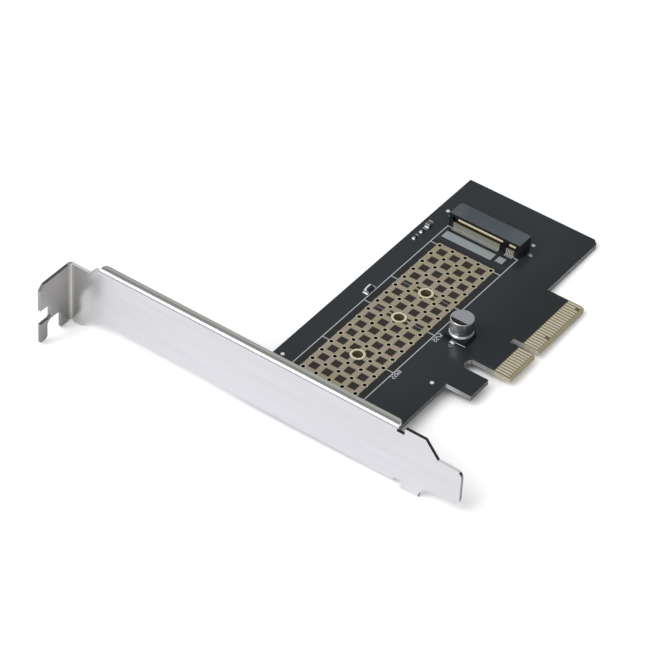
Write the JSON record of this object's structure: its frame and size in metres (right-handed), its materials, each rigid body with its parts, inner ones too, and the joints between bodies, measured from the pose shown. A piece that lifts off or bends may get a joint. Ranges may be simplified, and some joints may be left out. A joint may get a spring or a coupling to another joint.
{
  "type": "expansion adapter card",
  "caption": "Expansion card with a full-height folded bracket, a short card edge, and a socket and gold thermal grid that carry one plug-in storage module.",
  "frame": {"origin": "middle of the key notch of the card edge, at the tip of the tab, on the component side of the board", "axes": "+X along the card edge away from the bracket, +Y up the card towards the bracket's flange, +Z out of the component side"},
  "size_m": [0.1161, 0.12, 0.0221],
  "materials": {
    "solder_mask": "satin black solder mask over glass laminate",
    "bare_gold": "gold plated copper, slightly matt",
    "finger_gold": "gold plated copper, smooth",
    "socket_plastic": "moulded, fine matt",
    "terminal_gold": "gold plated spring strip",
    "tinned": "bright tin",
    "can_aluminium": "drawn can, satin, black sector on the top",
    "base_plastic": "moulded",
    "led_white": "white ceramic-filled plastic",
    "led_lens": "cloudy clear resin",
    "resistor_black": "glazed ceramic",
    "ceramic_tan": "fired ceramic",
    "white_ink": "printed ink",
    "grey_ink": "printed ink",
    "nickel_steel": "nickel plated sheet",
    "screw_nickel": "nickel plated"
  },
  "bodies": {
    "root": {"circuit_board": "solder_mask", "thermal_pad_grid": "bare_gold", "standoff_rings": "bare_gold", "edge_contacts_front": "finger_gold", "edge_contacts_back": "finger_gold", "socket_housing": "socket_plastic", "socket_lower_contacts": "terminal_gold", "socket_upper_contacts": "terminal_gold", "socket_solder_tabs": "tinned", "capacitor_can": "can_aluminium", "capacitor_base": "base_plastic", "capacitor_leads": "tinned", "status_led_base": "led_white", "status_led_lens": "led_lens", "status_led_terminals": "tinned", "resistor_bodies": "resistor_black", "resistor_ends": "tinned", "chip_capacitor_body": "ceramic_tan", "chip_capacitor_ends": "tinned", "solder_pads": "tinned", "sighting_dots": "bare_gold", "legend_lines": "white_ink", "legend_patches": "grey_ink", "mounting_bracket": "nickel_steel", "bracket_screws": "screw_nickel"}
  },
  "joints": []
}
